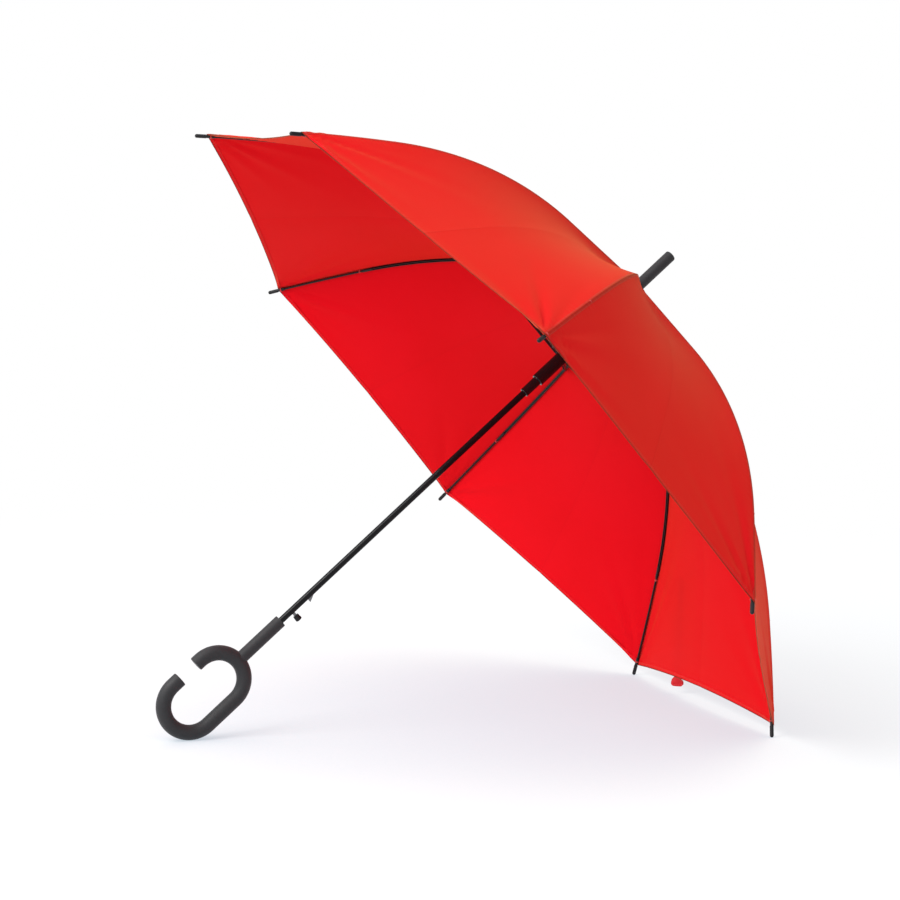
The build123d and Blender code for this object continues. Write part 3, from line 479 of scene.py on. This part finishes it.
class FabricShape:
    """Where the canopy's fabric lies, by rib, length from the hinge and share of a half panel."""

    def __init__(self, canopy):
        self.c = canopy
        self.start = canopy.start_slope
        self.inner_radius = canopy.channel_length / (canopy.joint_slope - canopy.start_slope)
        self.outer_radius = canopy.rod_length / (canopy.tip_slope - canopy.joint_slope)
        self.landing = (canopy.crown_slope - canopy.start_slope) * self.inner_radius
        self.hem = canopy.channel_length + canopy.rod_length - canopy.tip_length
        landing_radius, _ = self.profile(self.landing, canopy.above_rib)
        self.top = self.landing - (landing_radius - 0.0085) / math.cos(canopy.crown_slope)

    def slope(self, s):
        if s < self.landing:
            return self.c.crown_slope
        if s < self.c.channel_length:
            return self.start + s / self.inner_radius
        return self.c.joint_slope + (s - self.c.channel_length) / self.outer_radius

    def profile(self, s, out):
        """Radius and height above the hub of a place beside a rib's line."""
        if s < self.landing - 1e-9:
            radius, height = self.profile(self.landing, out)
            back = self.landing - s
            return (radius - back * math.cos(self.c.crown_slope),
                    height + back * math.sin(self.c.crown_slope))
        low = min(s, self.c.channel_length)
        a = self.start + low / self.inner_radius
        radius = HINGE_RADIUS + self.inner_radius * (math.sin(a) - math.sin(self.start))
        height = -self.inner_radius * (math.cos(self.start) - math.cos(a))
        if s > self.c.channel_length:
            b = self.slope(s)
            radius += self.outer_radius * (math.sin(b) - math.sin(a))
            height -= self.outer_radius * (math.cos(a) - math.cos(b))
            a = b
        return radius + out * math.sin(a), height + out * math.cos(a)

    def on_rib(self, rib, s, out):
        radius, height = self.profile(s, out)
        return HUB + SHAFT * height + OUTWARD[rib % len(OUTWARD)] * radius

    def outside(self, rib, s):
        """Direction away from the shelter at a rib."""
        a = self.slope(s)
        return OUTWARD[rib % len(OUTWARD)] * math.sin(a) + SHAFT * math.cos(a)

    def along(self, rib, s):
        a = self.slope(s)
        return OUTWARD[rib % len(OUTWARD)] * math.cos(a) - SHAFT * math.sin(a)

    def hem_at(self, t):
        """Length at which the scalloped hem cuts the fabric."""
        return self.hem - self.c.scallop * (1 - (1 - t) ** 2)

    def half_width(self, s):
        return self.profile(s, self.c.above_rib)[0] * math.sin(PITCH / 2)

    def sag(self, s, t):
        """How far the fabric draws in from the straight line between two ribs."""
        down = min(max((s - self.top) / (self.hem - self.top), 0.0), 1.0)
        depth = self.c.sag * (math.sin(math.pi * down ** 1.15 * 0.86) ** 1.1
                              if down > 0 else 0.0)
        near = down / 0.28
        depth += self.c.crown_sag * (near * math.exp(1 - near)) ** 1.5
        return depth * t * (2 - t)

    def pull(self, s, t, phases):
        """Tension folds that fan out from a tip and fade up the panel."""
        from_hem = self.hem_at(t) - s
        sideways = t * self.half_width(s)
        reach = math.hypot(from_hem, sideways)
        turn = math.atan2(sideways, max(from_hem, 1e-5))
        fan = sum(math.sin(turn * k + phase) / (1 + 0.25 * i)
                  for i, (k, phase) in enumerate(phases))
        fade = math.exp(-reach / 0.10) * (1 - math.exp(-reach / 0.020)) * (1 - t) ** 1.5
        return self.c.wrinkle * fan * fade * math.sin(min(turn / 0.35, 1.0) * math.pi / 2)

    def at(self, rib, side, s, t, out, phases=()):
        """A place on the half panel on one side of a rib; t is 0 on the rib, 1 in mid panel."""
        a, b = self.on_rib(rib, s, out), self.on_rib(rib + side, s, out)
        normal = (self.outside(rib, s) + self.outside(rib + side, s)).normalized()
        crease = self.c.crease * math.exp(-((1 - t) * self.half_width(s) / 0.006) ** 2)
        down = min(max((s - self.top) / 0.08, 0.0), 1.0)
        rise = -self.sag(s, t) + crease * down
        if phases:
            rise += self.pull(s, t, phases)
        return a + (b - a) * (t / 2) + normal * rise


# --- mesh helpers ------------------------------------------------------------------------------

def nothing_selected():
    if bpy.context.object and bpy.context.object.mode != "OBJECT":
        bpy.ops.object.mode_set(mode="OBJECT")
    bpy.ops.object.select_all(action="DESELECT")


def take(piece):
    nothing_selected()
    piece.select_set(True)
    bpy.context.view_layer.objects.active = piece


def apply_all(piece):
    take(piece)
    for modifier in list(piece.modifiers):
        bpy.ops.object.modifier_apply(modifier=modifier.name)


def cloth_grid(name, rows, marks, material):
    """A sheet from rows of points; marks gives each point's (across, along, from the middle)."""
    mesh = bpy.data.meshes.new(name)
    width = len(rows[0])
    points = [point for row in rows for point in row]
    faces = [(i * width + j, i * width + j + 1, (i + 1) * width + j + 1, (i + 1) * width + j)
             for i in range(len(rows) - 1) for j in range(width - 1)]
    mesh.from_pydata(points, [], faces)
    flat = [mark for row in marks for mark in row]
    uv = mesh.uv_layers.new(name="cloth")
    for loop in mesh.loops:
        uv.data[loop.index].uv = flat[loop.vertex_index][:2]
    middle = mesh.attributes.new("from_middle", "FLOAT", "POINT")
    middle.data.foreach_set("value", [mark[2] for mark in flat])
    mesh.materials.append(material)
    mesh.update()
    piece = bpy.data.objects.new(name, mesh)
    bpy.context.scene.collection.objects.link(piece)
    return piece


def face_outside(piece, outward):
    """Turns the sheet over if it faces into the shelter."""
    if sum(face.normal.dot(outward) * face.area for face in piece.data.polygons) < 0:
        piece.data.flip_normals()


def thicken(piece, thickness, bevel=0.0):
    take(piece)
    solid = piece.modifiers.new("thickness", "SOLIDIFY")
    solid.thickness, solid.offset, solid.use_even_offset = thickness, 0.0, False
    if bevel:
        rounded = piece.modifiers.new("rounded edges", "BEVEL")
        rounded.width, rounded.segments = bevel, 3
        rounded.limit_method, rounded.angle_limit = "ANGLE", math.radians(50)
    apply_all(piece)
    bpy.ops.object.shade_smooth_by_angle(angle=math.radians(50))


def round_the_shaft(piece, rib, name):
    """A copy of a piece made at rib 1, turned about the shaft to another rib."""
    other = piece.copy()
    other.data = piece.data.copy()
    other.name = other.data.name = name
    sense = 1 if SHAFT.dot(OUTWARD[0].cross(OUTWARD[rib])) >= 0 else -1
    turn = Matrix.Rotation(OUTWARD[0].angle(OUTWARD[rib]) * sense, 4, SHAFT)
    other.data.transform(Matrix.Translation(HUB) @ turn @ Matrix.Translation(-HUB))
    bpy.context.scene.collection.objects.link(other)
    return other


def thread_ring(centre, direction, up, high, wide, thread):
    """One turn of thread, square to a rib: a ring drawn out to an oval."""
    nothing_selected()
    bpy.ops.mesh.primitive_torus_add(major_radius=1.0, minor_radius=thread / ((high + wide) / 2),
                                     major_segments=20, minor_segments=8)
    ring = bpy.context.object
    side = up.cross(direction).normalized()
    turned = Matrix((side, up, direction)).transposed().to_4x4()
    drawn_out = Matrix.Diagonal((wide, high, (high + wide) / 2, 1))
    ring.matrix_world = Matrix.Translation(centre) @ turned @ drawn_out
    bpy.ops.object.transform_apply(location=True, rotation=True, scale=True)
    return ring


def knot(centre, size):
    nothing_selected()
    bpy.ops.mesh.primitive_ico_sphere_add(subdivisions=2, radius=size, location=centre)
    bead = bpy.context.object
    bpy.ops.object.mode_set(mode="EDIT")
    bpy.ops.mesh.select_all(action="SELECT")
    bpy.ops.transform.vertex_random(offset=size * 0.25, seed=3)
    bpy.ops.object.mode_set(mode="OBJECT")
    bpy.ops.object.transform_apply(location=True, rotation=True, scale=True)
    return bead


def joined(parts, name, material):
    nothing_selected()
    for part in parts:
        part.select_set(True)
    bpy.context.view_layer.objects.active = parts[0]
    bpy.ops.object.join()
    piece = bpy.context.object
    piece.name = piece.data.name = name
    piece.data.materials.clear()
    piece.data.materials.append(material)
    bpy.ops.object.shade_smooth()
    return piece


def folds_with(piece, rib):
    """The piece moves with its rib as the ribs fold."""
    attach(piece, f"rib_{rib + 1}")
    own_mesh(piece)


# --- operators ---------------------------------------------------------------------------------

GORE_COLUMNS = 22  # on each side of the rib, closer together near it
GORE_ROWS = 84


class UMBRELLA_OT_canopy(bpy.types.Operator):
    """Make the eight gores, each sewn along its rib and turned in along its hem"""
    bl_idname = "umbrella.canopy"
    bl_label = "Canopy"

    def execute(self, context):
        canopy = context.scene.umbrella_canopy
        shape = FabricShape(canopy)
        material = woven_cloth("canopy_cloth", canopy)
        chance = random.Random(context.scene.umbrella_stage.seed)
        columns = sorted({side * (i / GORE_COLUMNS) ** 1.7 for side in (-1, 1)
                          for i in range(GORE_COLUMNS + 1)})
        turned = ((0.0003, 0.00030), (0.0010, 0.00055), (canopy.hem_fold * 0.5, 0.00058),
                  (canopy.hem_fold, 0.00056))
        for rib in range(len(RIBS)):
            phases = {side: [(9 + chance.random() * 3, chance.random() * 6.3),
                             (15 + chance.random() * 5, chance.random() * 6.3),
                             (24 + chance.random() * 6, chance.random() * 6.3)]
                      for side in (-1, 1)}
            rows, marks = [], []
            for i in range(GORE_ROWS + 1):
                row, mark = [], []
                for column in columns:
                    t, side = abs(column), (1 if column >= 0 else -1)
                    s = shape.top + (shape.hem_at(t) - shape.top) * (i / GORE_ROWS)
                    row.append(shape.at(rib, side, s, t, canopy.above_rib, phases[side]))
                    half = shape.half_width(s)
                    mark.append((column * half, shape.hem_at(t) - s, (1 - t) * half))
                rows.append(row)
                marks.append(mark)
            for back, inward in turned:
                row, mark = [], []
                for column in columns:
                    t, side = abs(column), (1 if column >= 0 else -1)
                    s = shape.hem_at(t) - back
                    row.append(shape.at(rib, side, s, t, canopy.above_rib - inward,
                                        phases[side]))
                    half = shape.half_width(s)
                    mark.append((column * half, back, (1 - t) * half))
                rows.append(row)
                marks.append(mark)
            gore = cloth_grid(f"gore_{rib + 1}", rows, marks, material)
            face_outside(gore, shape.outside(rib, shape.hem * 0.6))
            thicken(gore, canopy.thickness)
            folds_with(gore, rib)
            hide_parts(f"canopy_gore_{rib + 1}")
            width = 2 * shape.half_width(shape.hem)
            (width * shape.hem
                     * 0.5)
        return {"FINISHED"}


PATCH_RINGS = 14
PATCH_SPOKES = 96
PATCH_HOLE = 0.0046


class UMBRELLA_OT_crown_patch(bpy.types.Operator):
    """Make the round patch that closes the canopy against the ferrule"""
    bl_idname = "umbrella.crown_patch"
    bl_label = "Crown patch"

    def execute(self, context):
        canopy = context.scene.umbrella_canopy
        shape = FabricShape(canopy)
        first = OUTWARD[0]
        second = SHAFT.cross(first)
        rows, marks = [], []
        for i in range(PATCH_RINGS + 1):
            radius = PATCH_HOLE + (canopy.patch_radius - PATCH_HOLE) * i / PATCH_RINGS
            row, mark = [], []
            for j in range(PATCH_SPOKES + 1):
                turn = 2 * math.pi * j / PATCH_SPOKES
                share = abs(((turn / PITCH + 0.5) % 1) - 0.5) * 2
                rim = max(0.0, (i - 10) / 4)
                s = shape.landing - (shape.profile(shape.landing, 0.0)[0] - radius) / math.cos(
                    canopy.crown_slope)
                height = shape.profile(s, canopy.above_rib)[1] + 0.00052
                height -= 0.0006 * share * radius / canopy.patch_radius
                height += 0.00018 * rim * math.sin(turn * 17)
                height = min(height, canopy.patch_top)
                flat = radius * (1 + 0.010 * rim * math.sin(turn * 24))
                row.append(HUB + SHAFT * height + (first * math.cos(turn)
                                                   + second * math.sin(turn)) * flat)
                mark.append((flat * math.cos(turn), flat * math.sin(turn), 1.0))
            rows.append(row)
            marks.append(mark)
        patch = cloth_grid("crown_patch_cloth", rows, marks,
                           woven_cloth("patch_cloth", canopy, sewn=False))
        take(patch)
        bpy.ops.object.mode_set(mode="EDIT")
        bpy.ops.mesh.select_all(action="SELECT")
        bpy.ops.mesh.remove_doubles(threshold=1e-5)
        bpy.ops.object.mode_set(mode="OBJECT")
        face_outside(patch, SHAFT)
        thicken(patch, canopy.thickness)
        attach(patch, "stick")
        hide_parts("crown_patch")
        return {"FINISHED"}


STRAP_COLUMNS = 8
STRAP_STEP = 0.0030
STRAP_OVERHANG = 0.004


class UMBRELLA_OT_strap(bpy.types.Operator):
    """Make the closing strap and its hook-and-loop pad on the lowest panel"""
    bl_idname = "umbrella.strap"
    bl_label = "Closing strap"

    def strip(self, name, shape, start, end, width, lift, material, ends):
        """A strip along the panel, a fixed way from its middle, on top of the fabric."""
        strap = bpy.context.scene.umbrella_strap
        rows, marks = [], []
        count = max(6, round((end - start) / STRAP_STEP))
        for i in range(count + 1):
            s = start + (end - start) * i / count
            row, mark = [], []
            for j in range(STRAP_COLUMNS + 1):
                across = width * (j / STRAP_COLUMNS - 0.5)
                inset = ends * (1 - math.sqrt(max(0.0, 1 - (2 * across / width) ** 4)))
                place = s - inset if i > count / 2 else s + inset * 0.25
                t = 1 - (strap.from_middle + across) / shape.half_width(place)
                middle = 1 - strap.from_middle / shape.half_width(place)
                point = shape.at(0, -1, min(place, shape.hem), t, shape.c.above_rib)
                if place > shape.hem:
                    point += shape.along(0, place) * (place - shape.hem)
                over = min(max(0.0, place - shape.hem_at(middle)) / 0.006, 1.0)
                wave = 0.0002 * math.sin(place * 190)
                normal = (shape.outside(0, place) + shape.outside(-1, place)).normalized()
                point += normal * (lift + wave - 0.00012 * (j in (0, STRAP_COLUMNS)))
                centre = shape.at(0, -1, min(place, shape.hem), middle, shape.c.above_rib)
                centre += normal * lift
                if place > shape.hem:
                    centre += shape.along(0, place) * (place - shape.hem)
                twist = Quaternion(shape.along(0, place), strap.twist * over * over
                                   * (3 - 2 * over))
                row.append(centre + twist @ (point - centre))
                mark.append((across, end - place, 1.0))
            rows.append(row)
            marks.append(mark)
        piece = cloth_grid(name, rows, marks, material)
        face_outside(piece, shape.outside(0, start))
        return piece

    def execute(self, context):
        canopy, strap = context.scene.umbrella_canopy, context.scene.umbrella_strap
        shape = FabricShape(canopy)
        end = shape.hem + STRAP_OVERHANG
        start = end - strap.span
        cloth = strap_cloth("strap_cloth", canopy, strap)
        band = self.strip("closing_strap_band", shape, start, end, strap.width,
                          strap.off_cloth, cloth, 0.0030)
        thicken(band, strap.thickness, 0.0004)
        pad_start = start + 0.003
        pad = self.strip("closing_strap_pad", shape, pad_start, pad_start + strap.pad_span,
                         strap.pad_width, strap.off_cloth + strap.thickness / 2 + 0.0003,
                         hook_tape("strap_pad_loops", canopy), 0.0010)
        thicken(pad, 0.0006, 0.00018)
        for piece, node, slot, wide, long in (
                (band, "closing_strap", "canopy_red", strap.width, strap.span),
                (pad, "strap_pad", "pad_red", strap.pad_width, strap.pad_span)):
            folds_with(piece, 0)
            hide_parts(node)
        return {"FINISHED"}


TIE_TOP = 0.0013  # over the rib, just under the fabric's outside
TIE_THREAD = 0.00024
TIE_KNOT = 0.00055


class UMBRELLA_OT_ties(bpy.types.Operator):
    """Make the thread ties that hold the fabric to each rib and to its tip"""
    bl_idname = "umbrella.ties"
    bl_label = "Thread ties"

    def execute(self, context):
        canopy = context.scene.umbrella_canopy
        shape = FabricShape(canopy)
        thread = sewing_thread("tie_thread", canopy)
        parts = []
        for place, high, wide, turns in ((canopy.channel_length + 0.004, 0.0024, 0.0017, 4),
                                         (shape.hem - 0.0055, 0.0029, 0.0024, 3)):
            for i in range(turns):
                s = place + (i - (turns - 1) / 2) * 2 * TIE_THREAD
                up = (shape.outside(0, s) + shape.along(0, s) * 0.16 * (-1) ** i).normalized()
                direction = (shape.along(0, s) - up * shape.along(0, s).dot(up)).normalized()
                parts.append(thread_ring(shape.on_rib(0, s, TIE_TOP - high), direction, up,
                                         high, wide, TIE_THREAD))
            parts.append(knot(shape.on_rib(0, place, TIE_TOP - 2 * high), TIE_KNOT))
        tie = joined(parts, "rib_tie_1", thread)
        ties = [tie] + [round_the_shaft(tie, rib, f"rib_tie_{rib + 1}")
                        for rib in range(1, len(RIBS))]
        for rib, piece in enumerate(ties):
            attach(piece, f"rib_{rib + 1}")
        return {"FINISHED"}


class UMBRELLA_OT_finishes(bpy.types.Operator):
    """Give every hard piece of the frame its paint, plastic or metal"""
    bl_idname = "umbrella.finishes"
    bl_label = "Finishes"

    def execute(self, context):
        finishes = context.scene.umbrella_finishes
        by_slot = {
            "shaft_lacquer": shaft_lacquer("shaft_lacquer", finishes),
            "soft_touch_black": soft_touch("soft_touch", finishes),
            "runner_black": gloss_plastic("runner_plastic", finishes),
            "button_black": moulded_plastic("button_plastic", finishes),
            "tip_black": moulded_plastic("tip_plastic", finishes),
            "rib_black": rib_paint("rib_paint", finishes),
            "rod_black": glass_fibre("rod_glass_fibre", finishes),
            "steel": plain_steel("spring_steel", finishes),
        }
        for part in frame["record"]["subparts"]:
            material = by_slot.get(part["material_slot"])
            if material is None:
                continue
            node = frame["nodes"][part["node"]]
            node.data.materials.clear()
            node.data.materials.append(material)
        return {"FINISHED"}


KEY_AT = (-3.0, -0.9, 2.9)
KEY_SIZE = 2.8
BRIGHT_TOWARDS = (-0.72, -0.12, 0.68)
CAMERA_AT = (-1.085, -2.800, 0.6788)
CAMERA_DOWN, CAMERA_RIGHT, CAMERA_ROLL = (math.radians(d) for d in (6.477, 21.197, 0.898))


class UMBRELLA_OT_stage(bpy.types.Operator):
    """Set the floor, the soft studio light and the camera"""
    bl_idname = "umbrella.stage"
    bl_label = "Stage"

    def light(self, name, place, target, size, power, tint):
        nothing_selected()
        bpy.ops.object.light_add(type="AREA", location=place)
        lamp = bpy.context.object
        lamp.name = name
        lamp.rotation_euler = (Vector(target) - Vector(place)).to_track_quat("-Z", "Y").to_euler()
        lamp.data.shape, lamp.data.size, lamp.data.energy = "DISK", size, power
        lamp.data.color = tint

    def room(self, stage):
        """A pale room: brighter at the upper left, and plain white to look at."""
        world = bpy.data.worlds.new("room")
        world.use_nodes = True
        nodes, links = world.node_tree.nodes, world.node_tree.links
        nodes.clear()
        towards = nodes.new("ShaderNodeTexCoord")
        facing = nodes.new("ShaderNodeVectorMath")
        facing.operation = "DOT_PRODUCT"
        facing.inputs[1].default_value = Vector(BRIGHT_TOWARDS).normalized()
        fade = nodes.new("ShaderNodeMapRange")
        fade.inputs["From Min"].default_value = -0.6
        fade.inputs["To Min"].default_value = stage.dim_side
        fade.inputs["To Max"].default_value = stage.bright_side
        lit, seen = nodes.new("ShaderNodeBackground"), nodes.new("ShaderNodeBackground")
        lit.inputs["Color"].default_value = (0.93, 0.97, 1.0, 1.0)
        seen.inputs["Color"].default_value = (1.0, 1.0, 1.0, 1.0)
        ray = nodes.new("ShaderNodeLightPath")
        choose = nodes.new("ShaderNodeMixShader")
        output = nodes.new("ShaderNodeOutputWorld")
        for start, end in ((towards.outputs["Generated"], facing.inputs[0]),
                           (facing.outputs["Value"], fade.inputs["Value"]),
                           (fade.outputs["Result"], lit.inputs["Strength"]),
                           (ray.outputs["Is Camera Ray"], choose.inputs[0]),
                           (lit.outputs[0], choose.inputs[1]),
                           (seen.outputs[0], choose.inputs[2]),
                           (choose.outputs[0], output.inputs["Surface"])):
            links.new(start, end)
        return world

    def execute(self, context):
        stage = context.scene.umbrella_stage
        nothing_selected()
        bpy.ops.mesh.primitive_plane_add(size=16.0)
        floor = context.object
        floor.name = "floor"
        f = Finish("floor_paint")
        place = f.place()
        haze = f.noise(place, 1.2, 2.0)
        paint = f.surface(
            Base_Color=f.mix(haze * 0.3, tuple(stage.floor), darker(stage.floor, 0.985)),
            Roughness=haze * 0.05 + 0.75, Specular_IOR_Level=0.10)
        # Painted shadow: the floor glows, and its glow turns from white to the shade colour where ambient
        # occlusion finds the umbrella close above, so the shade under the umbrella is painted rather than cast
        openness = f.node("ShaderNodeAmbientOcclusion", {"samples": 12}, {"Distance": 0.8}, out=1)
        away = f.node("ShaderNodeVectorMath", {"operation": "LENGTH"}, {0: place}, out=1)
        open_floor = openness.rise(0.30, 0.96) + away.rise(0.7, 1.5)
        white = f.node("ShaderNodeEmission", None, {
            "Color": f.mix(open_floor, tuple(stage.shade), (1.0, 1.0, 1.0)), "Strength": 1.0})
        share = away.rise(0.8, 2.0) * (1 - stage.glow) + stage.glow
        floor.data.materials.append(f.close(f.node(
            "ShaderNodeMixShader", None, {0: share, 1: paint, 2: white})))
        middle = (Vector(CAD_BOX[0]) + Vector(CAD_BOX[1])) / 2
        self.light("key_light", KEY_AT, middle, KEY_SIZE, stage.key_power,
                   (1.0, 0.975, 0.94))
        context.scene.world = self.room(stage)
        context.scene.view_settings.view_transform = "Standard"
        nothing_selected()
        bpy.ops.object.camera_add(location=CAMERA_AT)
        camera = context.object
        aim = Euler((math.pi / 2 - CAMERA_DOWN, 0.0, -CAMERA_RIGHT)).to_matrix()
        camera.rotation_euler = (aim @ Matrix.Rotation(CAMERA_ROLL, 3, "Z")).to_euler()
        camera.data.lens, camera.data.sensor_width = stage.lens, 36.0
        context.scene.camera = camera
        return {"FINISHED"}


OPERATORS = (
    UMBRELLA_OT_canopy,
    UMBRELLA_OT_crown_patch,
    UMBRELLA_OT_strap,
    UMBRELLA_OT_ties,
    UMBRELLA_OT_finishes,
    UMBRELLA_OT_stage,
)


class UMBRELLA_PT_panel(bpy.types.Panel):
    bl_label = "Stick Umbrella"
    bl_idname = "UMBRELLA_PT_panel"
    bl_space_type = "VIEW_3D"
    bl_region_type = "UI"
    bl_category = "Umbrella"

    def draw(self, context):
        for operator in OPERATORS:
            self.layout.operator(operator.bl_idname)
        for group in ("umbrella_canopy", "umbrella_strap", "umbrella_finishes",
                      "umbrella_stage"):
            settings = getattr(context.scene, group)
            box = self.layout.box()
            for name in settings.bl_rna.properties.keys():
                if name not in {"rna_type", "name"}:
                    box.prop(settings, name)


SETTINGS = {
    "umbrella_canopy": CanopySettings,
    "umbrella_strap": StrapSettings,
    "umbrella_finishes": FinishSettings,
    "umbrella_stage": StageSettings,
}


def register():
    for name, group in SETTINGS.items():
        bpy.utils.register_class(group)
        setattr(bpy.types.Scene, name, PointerProperty(type=group))
    for item in (*OPERATORS, UMBRELLA_PT_panel):
        bpy.utils.register_class(item)


def unregister():
    for item in reversed((*OPERATORS, UMBRELLA_PT_panel)):
        bpy.utils.unregister_class(item)
    for name, group in SETTINGS.items():
        delattr(bpy.types.Scene, name)
        bpy.utils.unregister_class(group)


def main():
    register()
    for step in ("canopy", "crown_patch", "strap", "ties", "finishes", "stage"):
        getattr(bpy.ops.umbrella, step)()


if __name__ == "__main__":
    main()
